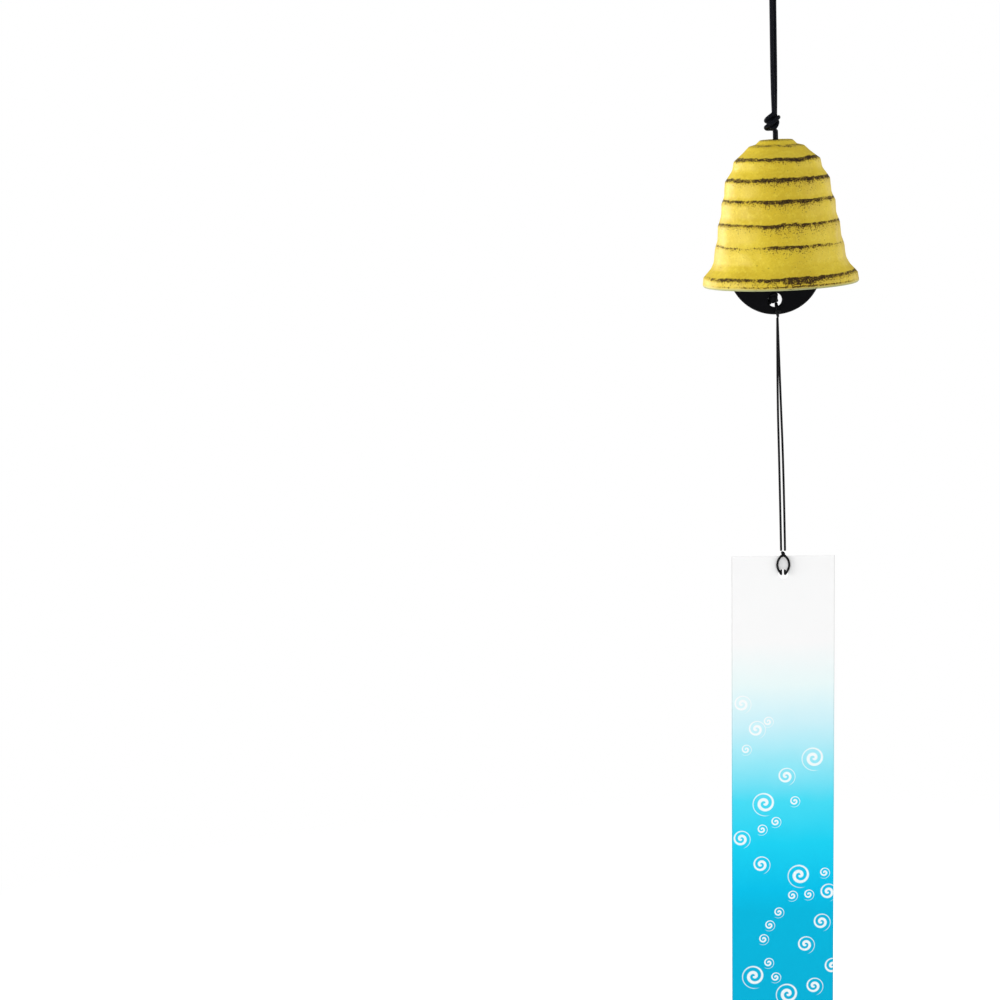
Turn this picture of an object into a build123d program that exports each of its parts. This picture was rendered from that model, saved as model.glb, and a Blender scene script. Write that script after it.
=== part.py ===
"""A small cast-iron wind bell on a doubled cord, with a round iron clapper inside and a paper strip below.

Millimetres. +Z is up and -Y is the front. The origin is the hang point, where a hook bears inside the
top of the cord's loop. The cord hangs on the plumb line through it, and the bell, the clapper and the
strip each hang a little askew on their knots.
"""

import os
from math import cos, radians, sin, sqrt, tan

from build123d import *

# Clearances and overruns
knot_clearance = 0.3  # between a knot and what turns on it
hitch_clearance = 0.5  # between the hitch and the clapper's web
cord_end_gap = 0.2  # between a cord's end and the knot that it runs into
cut_overrun = 2.0
arc_share = 0.45  # of a cord's shorter run, that the arc at its corner takes

# Bell
rim_radius = 37.9
bell_height = 69.6
bell_wall = 2.3
crown_thickness = 5.0
crown_hole_radius = 3.3
boss_radius = 7.9
boss_height = 2.1
boss_flare = 2.1
boss_rounding = 1.8
boss_foot_rounding = 1.0
ridge_rounding = 1.0
shoulder_rounding = 1.0  # at the first knee, close under the boss
knee_rounding = 6.0
crown_inner_rounding = 3.0
lip_thickness = 2.7
lip_rounding = 0.9
bell_lean = 0.8  # degrees, rim towards +X
bell_shift = 0.4  # of the bell's axis from the cord towards +X, at its knot

# The stepped wall, from the crown down. Each ridge is a convex edge, and the wall falls straight from
# it to a knee, where it flares out to the next ridge. Radii are shares of the rim's radius and depths
# below the crown are shares of the bell's height.
ridge_radius_shares = (0.351, 0.549, 0.668, 0.726, 0.778, 0.826)
ridge_depth_shares = (0.043, 0.138, 0.276, 0.428, 0.585, 0.747)
knee_radius_shares = (0.427, 0.570, 0.679, 0.731, 0.790, 0.842)
knee_depth_shares = (0.085, 0.200, 0.374, 0.516, 0.684, 0.829)
flare_radius_share, flare_depth_share = 0.884, 0.875
lip_radius_share, lip_depth_share = 0.987, 0.938

# Main cord, doubled, and the hook that its loop is made for
cord_diameter = 1.9
cord_gap = 0.4  # between the two strands
hook_radius = 3.0
hang_drop = 88.0  # from the hang point down to the crown's top
bight_taper = 12.0  # degrees by which each leg leans in below the hook
loop_turn = 45.0  # degrees from +X to the line through the two strands above the crown knot
neck_turn = 68.0  # the same below it

# Knots of the main cord
crown_knot_gap = 4.2  # bare cord between the crown and its knot
crown_knot_height = 8.2
crown_knot_radius = 2.7
crown_knot_end_radius = 2.3
crown_lobe_radius = 1.7
lobe_out_shares = (-1.15, -1.05, 0.45)  # of the barrel's radius, towards +X
lobe_up_shares = (0.55, 0.20, 0.76)  # of the knot's height
lobe_size_shares = (1.0, 0.95, 0.75)  # of the lobe's radius
stopper_knot_radius = 4.2
stopper_bedding = 0.8  # how far the knot beds up into the crown's hole
clapper_knot_radius = 3.0
knot_bite = 0.6  # how far a ring of cord runs into its knot

# Clapper, a round plate with a hole near its top and its bottom
clapper_radius = 22.8
clapper_thickness = 2.2
clapper_hole_radius = 3.5
clapper_web = 3.65  # iron between a hole and the plate's edge
clapper_drop = 84.4  # from the crown's top down to the plate's lowest point
clapper_edge = 0.4
clapper_lean = 1.5  # degrees about the stopper knot's middle, foot towards -X

# Thin cord of the strip, doubled
thread_diameter = 1.1
thread_gap = 0.2
tie_knot_share = 0.77  # of the clapper hole's radius, as are the next two
tie_knot_offset_share = 0.23  # from the hole's middle towards -X
tie_knot_rise_share = 0.26  # above the hole's middle
bight_bar_length = 3.3
hitch_shift = 1.3  # from the lower web's middle towards +X
hitch_rise = 0.25  # above it, because the web is deeper there
thread_head_spread = 0.12  # half the distance between the two threads at the hitch
thread_spread = 1.05  # the same where they are widest apart
thread_upper_spread = 0.79
thread_foot_spread = 0.95
thread_upper_share, thread_widest_share = 0.30, 0.67  # of the way down

# Paper strip and the hitch that holds it
strip_width = 51.0
strip_length = 240.0
strip_thickness = 0.35
strip_drop = 204.0  # from the crown's top down to the strip's top edge
strip_lean = 1.1  # degrees about its knot, foot towards -X
strip_hole_radius = 2.5
strip_hole_drop = 9.2
strip_knot_radius = 1.9
strip_knot_rise = 0.7  # of its middle above the strip's top edge
eye_half_width = 3.0
eye_foot_half_width = 0.95
eye_head_half_width = 1.5
eye_head_drop = 1.2  # of the eye's head below the strip's top edge
eye_shoulder_share, eye_waist_share = 0.32, 0.72  # of the way from the eye's head to its foot
paper_clearance = 0.1

# Heights of the main levels
cord_radius = cord_diameter / 2
thread_radius = thread_diameter / 2
crown_top = -hang_drop
crown_knot_foot = crown_top + crown_knot_gap
crown_knot_head = crown_knot_foot + crown_knot_height
seat_radius = stopper_knot_radius + knot_clearance
seat_rise = sqrt(seat_radius**2 - crown_hole_radius**2)
stopper_middle = crown_top - crown_thickness - seat_rise + stopper_bedding
clapper_foot = crown_top - clapper_drop
clapper_middle = clapper_foot + clapper_radius
clapper_head = clapper_middle + clapper_radius
upper_web = clapper_head - clapper_web / 2
lower_web = clapper_foot + clapper_web / 2
upper_hole = clapper_head - clapper_web - clapper_hole_radius
lower_hole = clapper_foot + clapper_web + clapper_hole_radius
strip_top = crown_top - strip_drop
strip_bottom = strip_top - strip_length
strip_hole = strip_top - strip_hole_drop
strip_knot_middle = strip_top + strip_knot_rise

# A ring of cord that turns freely round the clapper's web clears the web's corners
web_corner = sqrt((clapper_thickness / 2) ** 2 + (clapper_web / 2) ** 2)
clapper_ring_radius = web_corner + knot_clearance + cord_radius
hitch_ring_radius = web_corner + hitch_clearance + thread_radius
clapper_knot_foot = upper_web + clapper_ring_radius + cord_radius - knot_bite
clapper_knot_head = clapper_knot_foot + 2 * clapper_knot_radius

# Where the hitch hangs on the leaning plate
swing = radians(clapper_lean)
hitch_drop = lower_web + hitch_rise - stopper_middle
hitch_side = hitch_drop * sin(swing) + hitch_shift * cos(swing)
hitch_level = stopper_middle + hitch_drop * cos(swing) - hitch_shift * sin(swing)

strand_offset = (cord_diameter + cord_gap) / 2
bight_radius = hook_radius + cord_radius
bight_middle = cord_radius - bight_radius

os.makedirs("parts", exist_ok=True)


def finish(piece, name):
    """Labels a finished piece and writes its file."""
    piece.label = name
    export_step(piece, f"parts/{name}.step")


def turned(degrees):
    """An upright plane through the plumb line, turned from the front about it."""
    along, across = cos(radians(degrees)), sin(radians(degrees))
    return Plane(origin=(0, 0, 0), x_dir=(along, across, 0), z_dir=(across, -along, 0))


def corner_radii(points):
    """For each inner point of a route, the largest arc that its two runs allow."""
    places = [Vector(*point) for point in points]
    radii = []
    for before, here, after in zip(places, places[1:], places[2:]):
        arriving, leaving = here - before, after - here
        half_turn = radians(arriving.get_angle(leaving)) / 2
        radii.append(arc_share * min(arriving.length, leaving.length) / tan(half_turn))
    return radii


def thread_along(points, name):
    """Sweeps the thin cord along straight runs joined by tangent arcs."""
    radii = corner_radii(points)
    print(name, "arc radii", [round(radius, 1) for radius in radii])
    with BuildPart() as thread:
        with BuildLine() as route:
            FilletPolyline(*points, radius=radii)
        path = route.wires()[0]
        with BuildSketch(Plane(origin=path @ 0, z_dir=path % 0)):
            Circle(thread_radius)
        sweep(path=path)
    share = thread.part.volume / (path.length * Circle(thread_radius, mode=Mode.PRIVATE).area)
    print(name, "length", round(path.length, 1), "volume share", round(share, 4))
    return thread.part


# Hanging loop: up one side, over the hook and down the other
taper = radians(bight_taper)
tangent_out, tangent_up = bight_radius * cos(taper), bight_middle - bight_radius * sin(taper)
leg_length = (tangent_out - strand_offset) / sin(taper)
merge_height = tangent_up - leg_length * cos(taper)
merge_radius = arc_share * leg_length / tan(taper / 2)
with BuildPart() as hanging_loop:
    with BuildLine(turned(loop_turn)) as loop_line:
        FilletPolyline((-strand_offset, crown_knot_head), (-strand_offset, merge_height),
                       (-tangent_out, tangent_up), radius=merge_radius)
        CenterArc((0, bight_middle), bight_radius, 180 + bight_taper, -180 - 2 * bight_taper)
        FilletPolyline((tangent_out, tangent_up), (strand_offset, merge_height),
                       (strand_offset, crown_knot_head), radius=merge_radius)
    loop_path = loop_line.wires()[0]
    with BuildSketch(Plane(origin=loop_path @ 0, z_dir=loop_path % 0)):
        Circle(cord_radius)
    sweep(path=loop_path)
print("hanging_loop length", round(loop_path.length, 1), "arc radius", round(merge_radius, 1))
finish(hanging_loop.part, "hanging_loop")

# Crown knot: a barrel of drawn-up turns with three turns that stand proud of it
with BuildPart() as crown_knot:
    with BuildSketch(Plane.XZ):
        with BuildLine():
            Polyline((crown_knot_end_radius, crown_knot_head), (0, crown_knot_head),
                     (0, crown_knot_foot), (crown_knot_end_radius, crown_knot_foot))
            ThreePointArc((crown_knot_end_radius, crown_knot_foot),
                          (crown_knot_radius, crown_knot_foot + crown_knot_height / 2),
                          (crown_knot_end_radius, crown_knot_head))
        make_face()
    revolve(axis=Axis.Z)
    for out_share, up_share, size_share in zip(lobe_out_shares, lobe_up_shares, lobe_size_shares):
        with Locations((out_share * crown_knot_radius, 0, crown_knot_foot + up_share * crown_knot_height)):
            Sphere(size_share * crown_lobe_radius)
finish(crown_knot.part, "crown_knot")

# Neck: the two strands between the crown knot and the stopper knot, through the crown's hole
neck_foot = stopper_middle + stopper_knot_radius + cord_end_gap
with BuildPart() as neck_cord:
    with BuildSketch(Plane.XY.offset(neck_foot)):
        with PolarLocations(strand_offset, 2, start_angle=neck_turn):
            Circle(cord_radius)
    extrude(amount=crown_knot_foot - neck_foot)
finish(neck_cord.part, "neck_cord")

# Stopper knot: the ball of cord that the bell hangs on
with BuildPart() as stopper_knot:
    with Locations((0, 0, stopper_middle)):
        Sphere(stopper_knot_radius)
finish(stopper_knot.part, "stopper_knot")

# Bell, revolved about its own axis, which leans about the stopper knot's middle
knot_depth = crown_top - stopper_middle
lean = radians(bell_lean)
bell_plane = Plane(origin=(bell_shift, 0, stopper_middle), x_dir=(cos(lean), 0, sin(lean)), z_dir=(0, -1, 0))
bell_axis = Axis((bell_shift, 0, stopper_middle), (-sin(lean), 0, cos(lean)))


def wall_point(radius, depth):
    """A point of the bell's half section, from its radius and its depth below the crown's top."""
    return (radius, knot_depth - depth)


outer_corners = [(crown_hole_radius, 0), (boss_radius, 0), (boss_radius + boss_flare, boss_height)]
outer_radii = [boss_rounding, boss_foot_rounding]
tiers = zip(ridge_radius_shares, ridge_depth_shares, knee_radius_shares, knee_depth_shares)
for ridge_radius, ridge_depth, knee_radius, knee_depth in tiers:
    outer_corners += [(ridge_radius * rim_radius, ridge_depth * bell_height),
                      (knee_radius * rim_radius, knee_depth * bell_height)]
    outer_radii += [ridge_rounding, knee_rounding if len(outer_radii) > 2 else shoulder_rounding]
outer_corners += [(flare_radius_share * rim_radius, flare_depth_share * bell_height),
                  (lip_radius_share * rim_radius, lip_depth_share * bell_height),
                  (rim_radius, bell_height)]
outer_radii += [knee_rounding, ridge_rounding]

inner_corners = [(rim_radius - lip_thickness, bell_height),
                 (flare_radius_share * rim_radius - bell_wall, flare_depth_share * bell_height)]
lower_knees = list(zip(knee_radius_shares, knee_depth_shares))[1:]
for knee_radius, knee_depth in reversed(lower_knees):
    inner_corners += [(knee_radius * rim_radius - bell_wall, knee_depth * bell_height)]
inner_corners += [(ridge_radius_shares[0] * rim_radius - bell_wall / 2, crown_thickness),
                  (crown_hole_radius, crown_thickness)]
inner_radii = [knee_rounding] * (len(inner_corners) - 3) + [crown_inner_rounding]

with BuildPart() as bell_shell:
    with BuildSketch(bell_plane):
        with BuildLine():
            FilletPolyline(*[wall_point(*corner) for corner in outer_corners], radius=outer_radii)
            Line(wall_point(*outer_corners[-1]), wall_point(*inner_corners[0]))
            FilletPolyline(*[wall_point(*corner) for corner in inner_corners], radius=inner_radii)
            Line(wall_point(*inner_corners[-1]), wall_point(*outer_corners[0]))
        make_face()
    revolve(axis=bell_axis)
    with Locations((0, 0, stopper_middle)):
        Sphere(seat_radius, mode=Mode.SUBTRACT)
    rim_edges = bell_shell.edges().filter_by(GeomType.CIRCLE).group_by(SortBy.RADIUS)[-1]
    fillet(rim_edges.sort_by(Axis.Z)[0], radius=lip_rounding)
finish(bell_shell.part, "bell_shell")

# Clapper cord: the same two strands, below the stopper knot. It and the clapper lean about that knot.
clapper_pivot = Axis((0, 0, stopper_middle), (0, 1, 0))
clapper_cord_head = stopper_middle - stopper_knot_radius - cord_end_gap
clapper_cord_foot = clapper_knot_head + cord_end_gap
for side, name in ((-1, "clapper_cord_left"), (1, "clapper_cord_right")):
    with BuildPart() as clapper_cord:
        with BuildSketch(Plane.XY.offset(clapper_cord_foot)):
            with Locations((side * strand_offset, 0)):
                Circle(cord_radius)
        extrude(amount=clapper_cord_head - clapper_cord_foot)
    finish(clapper_cord.part.rotate(clapper_pivot, clapper_lean), name)

# Clapper knot and the ring of cord below it, which the plate nods on
with BuildPart() as clapper_knot:
    with Locations((0, 0, clapper_knot_foot + clapper_knot_radius)):
        Sphere(clapper_knot_radius)
finish(clapper_knot.part.rotate(clapper_pivot, clapper_lean), "clapper_knot")

with BuildPart() as clapper_ring:
    with BuildSketch(Plane.XY.offset(upper_web)):
        with Locations((0, clapper_ring_radius)):
            Circle(cord_radius)
    revolve(axis=Axis((0, 0, upper_web), (1, 0, 0)))
finish(clapper_ring.part.rotate(clapper_pivot, clapper_lean), "clapper_ring")

# Clapper plate
with BuildPart() as clapper_plate:
    with BuildSketch(Plane.XZ.offset(-clapper_thickness / 2)):
        with Locations((0, clapper_middle)):
            Circle(clapper_radius)
        with Locations((0, upper_hole), (0, lower_hole)):
            Circle(clapper_hole_radius, mode=Mode.SUBTRACT)
    extrude(amount=clapper_thickness)
    chamfer(clapper_plate.edges().filter_by(GeomType.CIRCLE), length=clapper_edge)
finish(clapper_plate.part.rotate(clapper_pivot, clapper_lean), "clapper_plate")

# Tie knot: the joined ends of the thin cord, drawn up against the lower hole's edge from behind
tie_knot_radius = tie_knot_share * clapper_hole_radius
tie_knot_offset = tie_knot_offset_share * clapper_hole_radius
tie_knot_rise = tie_knot_rise_share * clapper_hole_radius
edge_reach = clapper_hole_radius + clapper_edge - sqrt(tie_knot_offset**2 + tie_knot_rise**2)
tie_knot_back = clapper_thickness / 2 + sqrt((tie_knot_radius + cord_end_gap) ** 2 - edge_reach**2)
with BuildPart() as tie_knot:
    with Locations((-tie_knot_offset, tie_knot_back, lower_hole + tie_knot_rise)):
        Sphere(tie_knot_radius)
finish(tie_knot.part.rotate(clapper_pivot, clapper_lean), "tie_knot")

# Hitch of the thin cord on the plate: two turns round the web, with the bight across their front
turn_offset = (thread_diameter + thread_gap) / 2
bar_reach = hitch_ring_radius + thread_diameter
with BuildPart() as strip_hitch:
    with BuildSketch(Plane.XY.offset(hitch_level)):
        with Locations((hitch_side - turn_offset, hitch_ring_radius),
                       (hitch_side + turn_offset, hitch_ring_radius)):
            Circle(thread_radius)
    revolve(axis=Axis((0, 0, hitch_level), (1, 0, 0)))
    with BuildSketch(Plane.YZ.offset(hitch_side - bight_bar_length / 2)):
        with Locations((-bar_reach, hitch_level)):
            Circle(thread_radius)
    extrude(amount=bight_bar_length)
    for side in (-1, 1):
        with BuildSketch(Plane.XZ.offset(hitch_ring_radius)):
            with Locations((hitch_side + side * turn_offset, hitch_level)):
                Circle(thread_radius)
        extrude(amount=bar_reach - hitch_ring_radius)
finish(strip_hitch.part, "strip_hitch")

# The strip's cord: two threads that leave the hitch one behind the other and spread side by side
thread_head = hitch_level - hitch_ring_radius - thread_radius - cord_end_gap
thread_foot = strip_knot_middle + strip_knot_radius + cord_end_gap
thread_fall = thread_head - thread_foot
thread_depth = (thread_diameter + thread_gap) / 2
for side, name in ((-1, "strip_cord_left"), (1, "strip_cord_right")):
    route = [
        (hitch_side + side * thread_head_spread, side * thread_depth, thread_head),
        (hitch_side + side * thread_upper_spread, side * thread_depth,
         thread_head - thread_upper_share * thread_fall),
        (side * thread_spread, side * thread_depth / 2, thread_head - thread_widest_share * thread_fall),
        (side * thread_foot_spread, 0, thread_foot),
    ]
    finish(thread_along(route, name), name)

# Strip: a plain sheet of stiff paper with one round hole. It and what is tied to it lean about the knot.
strip_pivot = Axis((0, 0, strip_knot_middle), (0, 1, 0))
with BuildPart() as paper_strip:
    with BuildSketch(Plane.XZ.offset(-strip_thickness / 2)):
        with Locations((0, (strip_top + strip_bottom) / 2)):
            Rectangle(strip_width, strip_length)
        with Locations((0, strip_hole)):
            Circle(strip_hole_radius, mode=Mode.SUBTRACT)
    extrude(amount=strip_thickness)
finish(paper_strip.part.rotate(strip_pivot, strip_lean), "paper_strip")

# Strip knot: the bight drawn tight over the strip's top edge
slot_half = strip_thickness / 2 + paper_clearance
with BuildPart() as strip_knot:
    with Locations((0, 0, strip_knot_middle)):
        Sphere(strip_knot_radius)
    with Locations((0, 0, strip_top + paper_clearance - strip_knot_radius)):
        Box(2 * strip_knot_radius + cut_overrun, 2 * slot_half, 2 * strip_knot_radius, mode=Mode.SUBTRACT)
finish(strip_knot.part.rotate(strip_pivot, strip_lean), "strip_knot")

# The eye below it: each leg bows out on the front, goes through the hole and comes up behind the paper
leg_front = slot_half + thread_radius
eye_head = strip_top - eye_head_drop
eye_foot = strip_hole + thread_radius
eye_drop = eye_head - eye_foot
for side, name in ((-1, "strip_eye_left"), (1, "strip_eye_right")):
    route = [
        (side * eye_head_half_width, -leg_front, eye_head),
        (side * eye_half_width, -leg_front, eye_head - eye_shoulder_share * eye_drop),
        (side * eye_half_width, -leg_front, eye_head - eye_waist_share * eye_drop),
        (side * eye_foot_half_width, -leg_front, eye_foot),
        (side * eye_foot_half_width, leg_front, eye_foot),
        (side * eye_foot_half_width, leg_front, eye_head),
    ]
    finish(thread_along(route, name).rotate(strip_pivot, strip_lean), name)
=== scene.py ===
# %% [markdown]
# # A cast-iron wind bell with a paper strip
#
# The bell is a small iron casting in worn yellow paint. It hangs on a doubled black cord, with a round
# iron plate inside as its clapper, and below the plate a strip of printed paper that catches the wind.
#
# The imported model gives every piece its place. This notebook dresses it: cords get their lie and their
# braid, the casting its uneven skin and worn ridges, and the paper its print. All lengths are in metres,
# +Z is up, -Y is the front, and the hang point is the origin.

# %% Load the frame
from math import cos, pi, radians, sin, sqrt

import bpy
import numpy as np
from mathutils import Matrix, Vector


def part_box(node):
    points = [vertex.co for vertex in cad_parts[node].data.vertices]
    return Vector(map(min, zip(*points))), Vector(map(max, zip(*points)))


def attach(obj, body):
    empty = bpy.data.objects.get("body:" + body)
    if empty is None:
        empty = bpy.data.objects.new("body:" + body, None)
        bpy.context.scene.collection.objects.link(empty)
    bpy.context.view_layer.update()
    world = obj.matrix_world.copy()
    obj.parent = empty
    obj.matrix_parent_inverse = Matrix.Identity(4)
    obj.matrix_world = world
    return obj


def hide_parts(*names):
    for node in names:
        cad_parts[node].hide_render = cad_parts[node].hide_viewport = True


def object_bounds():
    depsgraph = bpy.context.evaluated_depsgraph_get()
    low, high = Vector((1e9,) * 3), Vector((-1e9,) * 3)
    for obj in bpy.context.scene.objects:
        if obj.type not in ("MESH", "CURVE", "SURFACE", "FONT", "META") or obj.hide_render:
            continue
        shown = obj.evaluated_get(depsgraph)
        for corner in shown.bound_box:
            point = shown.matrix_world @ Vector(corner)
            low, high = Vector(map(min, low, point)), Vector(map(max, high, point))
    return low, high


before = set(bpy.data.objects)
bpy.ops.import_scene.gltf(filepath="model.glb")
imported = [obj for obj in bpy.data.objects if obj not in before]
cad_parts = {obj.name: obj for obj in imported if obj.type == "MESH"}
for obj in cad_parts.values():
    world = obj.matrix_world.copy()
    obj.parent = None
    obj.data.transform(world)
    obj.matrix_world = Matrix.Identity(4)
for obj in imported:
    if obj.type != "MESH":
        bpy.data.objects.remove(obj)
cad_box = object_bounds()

MM = 0.001
print("box of the packed model:", [tuple(round(v, 4) for v in corner) for corner in cad_box])


# %% [markdown]
# ## The camera
#
# The photograph looks at the bell from a little above it, so each ridge curves down towards us. A camera
# that stands 1.4 m away with a long lens sees those curves, and keeps the strip's edges almost parallel.
# It stands to the left of the bell, because the bell hangs at the right of the picture, and it is rolled
# by two degrees, because the cords run down the picture a little to the right.


# %% Camera
def add_object(name, data):
    """Puts a camera, a mesh or a lamp into the scene as an object."""
    made = bpy.data.objects.new(name, data)
    bpy.context.scene.collection.objects.link(made)
    return made


lens, tilt_down, roll = 103.9, 9.4, 1.95
camera_data = bpy.data.cameras.new("camera")
camera_data.sensor_width = 36
camera_data.lens = lens
camera = add_object("camera", camera_data)
camera.location = (-0.13075, -1.40, -0.0277)  # metres left of the cord, in front, and below the hook
camera.rotation_euler = (radians(90 - tilt_down), radians(roll), 0)
bpy.context.scene.camera = camera
print("camera at", tuple(camera.location), "with a lens of", lens)


# %% [markdown]
# ## Skins from numbers
#
# Every new piece here is a surface on a grid: a function of two numbers, worked out for the whole grid
# at once with numpy. One helper turns such a grid of points into a mesh. It also lays a UV map on the
# skin, so a braid or a wear mark can follow it.


# %% A grid becomes a skin
def skin(name, grid, uv, torus=False, inward=False):
    """Joins a grid of points, rows by columns, into four-sided faces.

    Each face joins a point, its neighbour in the row and the two below them, and the last column meets the
    first. With torus, the last row meets the first as well; otherwise the first and the last row are
    closed with a fan round their middle point. inward turns the faces over.
    """
    rows, columns = grid.shape[:2]
    i = np.arange(rows if torus else rows - 1)[:, None]
    j = np.arange(columns)[None, :]
    below, beside = (i + 1) % rows, (j + 1) % columns
    quads = np.stack(np.broadcast_arrays(
        i * columns + j, i * columns + beside, below * columns + beside, below * columns + j), -1)
    corner_uv = np.stack(np.broadcast_arrays(
        uv[0][j], uv[1][i], uv[0][j + 1], uv[1][i], uv[0][j + 1], uv[1][i + 1], uv[0][j], uv[1][i + 1]), -1)
    points, faces, corners = grid.reshape(-1, 3), quads.reshape(-1, 4).tolist(), corner_uv.reshape(-1, 2)
    if not torus:
        k = np.arange(columns)
        after = (k + 1) % columns
        last = (rows - 1) * columns
        middles = np.stack([grid[0].mean(0), grid[-1].mean(0)])
        points = np.concatenate([points, middles])
        head = np.stack([after, k, np.full(columns, rows * columns)], 1)
        foot = np.stack([last + k, last + after, np.full(columns, rows * columns + 1)], 1)
        faces += head.tolist() + foot.tolist()
        top, end = np.full(columns, uv[1][0]), np.full(columns, uv[1][-1])
        corners = np.concatenate([
            corners,
            np.stack([uv[0][k + 1], top, uv[0][k], top, uv[0][k], top], 1).reshape(-1, 2),
            np.stack([uv[0][k], end, uv[0][k + 1], end, uv[0][k], end], 1).reshape(-1, 2)])
    if inward:
        starts = np.cumsum([0] + [len(face) for face in faces])
        faces = [face[::-1] for face in faces]
        order = np.concatenate([np.arange(a, b)[::-1] for a, b in zip(starts, starts[1:])])
        corners = corners[order]
    mesh = bpy.data.meshes.new(name)
    mesh.from_pydata(points, [], faces)
    layer = mesh.uv_layers.new(name="UVMap")
    layer.data.foreach_set("uv", corners.astype(np.float32).ravel())
    mesh.polygons.foreach_set("use_smooth", np.ones(len(faces), bool))
    mesh.update()
    return add_object(name, mesh)


trial = skin("trial", np.zeros((3, 4, 3)), (np.linspace(0, 1, 5), np.linspace(0, 1, 3)))
print("a grid of 3 by 4 points makes", len(trial.data.polygons), "faces, 8 of them in the two fans")
bpy.data.meshes.remove(trial.data)


# %% [markdown]
# ## Cords
#
# A cord has a route, which is a few given points, and a smooth line near them. Blender's NURBS
# curve draws that line. A tube of faces is then carried along it, because a tube can hold a UV map that
# says how far along the cord and how far round it each point lies, and a braid needs both.


# %% A smooth line from a route
def smooth_line(route):
    """Reads points from a NURBS curve of order 3 that has the route as its control points."""
    curve = bpy.data.curves.new("route", "CURVE")
    curve.dimensions = "3D"
    curve.resolution_u = 24
    spline = curve.splines.new("NURBS")
    spline.points.add(len(route) - 1)
    spline.points.foreach_set("co", np.c_[np.array(route, float), np.ones(len(route))].ravel())
    spline.order_u = 3
    spline.use_endpoint_u = True
    holder = bpy.data.objects.new("route", curve)
    mesh = bpy.data.meshes.new_from_object(holder)
    points = np.empty(3 * len(mesh.vertices))
    mesh.vertices.foreach_get("co", points)
    bpy.data.objects.remove(holder)
    bpy.data.curves.remove(curve)
    bpy.data.meshes.remove(mesh)
    return points.reshape(-1, 3)


def run_along(line):
    """The length run from the line's start to each of its points."""
    return np.r_[0, np.cumsum(np.linalg.norm(np.diff(line, axis=0), axis=1))]


def read_off(line, places):
    """The line's points at given lengths from its start: each coordinate is read off against the run."""
    run = run_along(line)
    return np.stack([np.interp(places, run, values) for values in line.T], 1)


def even_steps(line, step):
    """The same line with points an even step apart, and at least five of them."""
    whole = run_along(line)[-1]
    return read_off(line, np.linspace(0, whole, max(int(round(whole / step)), 4) + 1))


bend = even_steps(smooth_line([(0, 0, 0), (1, 0, 0), (1, 1, 0)]), 0.1)
print("a bend between three points is", round(float(run_along(bend)[-1]), 2), "long")


# %% [markdown]
# A tube needs, at each point of its line, two directions across it. Taken from a fixed direction they
# would spin where the line turns, and the braid would twist there. So each pair is turned back by the
# angle that it has gained on the pair before it: that is the frame that turns least.


# %% Directions across a line
def unit(vectors):
    """Vectors divided by their own lengths."""
    return vectors / np.linalg.norm(vectors, axis=-1, keepdims=True)


def steady_frame(line, aside):
    """Tangents and two directions across a line, that turn as little as possible along it.

    The first guess is the tangent crossed with a fixed direction aside. Carrying each guess to the next
    point by the smallest turn between the two tangents shows the angle it gained there, and the sum of
    those angles so far is taken off again.
    """
    tangent = unit(np.gradient(line, axis=0))
    guess = unit(np.cross(tangent, np.asarray(aside, float)))
    before, after = tangent[:-1], tangent[1:]
    axis = np.cross(before, after)
    dot = (before * after).sum(1, keepdims=True)
    old = guess[:-1]
    carried = old * dot + np.cross(axis, old) + axis * (axis * old).sum(1, keepdims=True) / (1 + dot)
    gained = np.arctan2((np.cross(carried, guess[1:]) * after).sum(1), (carried * guess[1:]).sum(1))
    angle = -np.r_[0, np.cumsum(gained)][:, None]
    across = guess * np.cos(angle) + np.cross(tangent, guess) * np.sin(angle)
    return tangent, across, np.cross(tangent, across)


along, across = steady_frame(bend, (0, 0, 1))[:2]
slant = np.abs((along * across).sum(1)).max()
print("the bend and the direction across it are square to within", round(float(slant), 9))


# %% [markdown]
# With those two directions a tube is a circle carried along the line. Three smaller circles close each
# end in a dome, and a line that closes on itself makes a ring with no ends.


# %% A tube along a line
dome = np.radians([75, 50, 25])  # how far up the dome each of its circles lies


def tube(name, line, radius, aside=(0, 0, 1), sides=20, step=None, torus=False):
    """A round tube along a line, with domed ends: point = line + radius x (cos a across + sin a up).

    u runs once round the tube, and v is the length run in the tube's own diameters.
    """
    line = even_steps(line, step or 0.6 * radius)
    if torus:
        line = line[:-1]
    tangent, across, up = steady_frame(line, aside)
    sizes, run = np.full(len(line), radius), run_along(line)
    if not torus:
        rise, swell = radius * np.sin(dome), radius * np.cos(dome)
        head = line[0] - tangent[0] * 0.6 * rise[:, None]
        foot = line[-1] + tangent[-1] * 0.6 * rise[::-1, None]
        line = np.concatenate([head, line, foot])
        sizes = np.r_[swell, sizes, swell[::-1]]
        run = np.r_[-rise, run, run[-1] + rise[::-1]]
        across, up = (np.pad(direction, ((3, 3), (0, 0)), mode="edge") for direction in (across, up))
    angle = np.linspace(0, 2 * pi, sides, endpoint=False)
    around = across[:, None] * np.cos(angle)[None, :, None] + up[:, None] * np.sin(angle)[None, :, None]
    grid = line[:, None] + sizes[:, None, None] * around
    lengths = np.r_[run, 2 * run[-1] - run[-2]] / (2 * radius)
    return skin(name, grid, (np.linspace(0, 1, sides + 1), lengths), torus=torus)


print("the dome's circles have", np.cos(dome).round(2), "of the tube's radius")


# %% [markdown]
# ## Colours and shaders
#
# The colours are written as a screen shows them, from 0 to 255. Blender mixes light in linear
# values, so they are converted here. Small helpers keep the shaders short: they place a node, fill its
# sockets, or do a piece of arithmetic.


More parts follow.
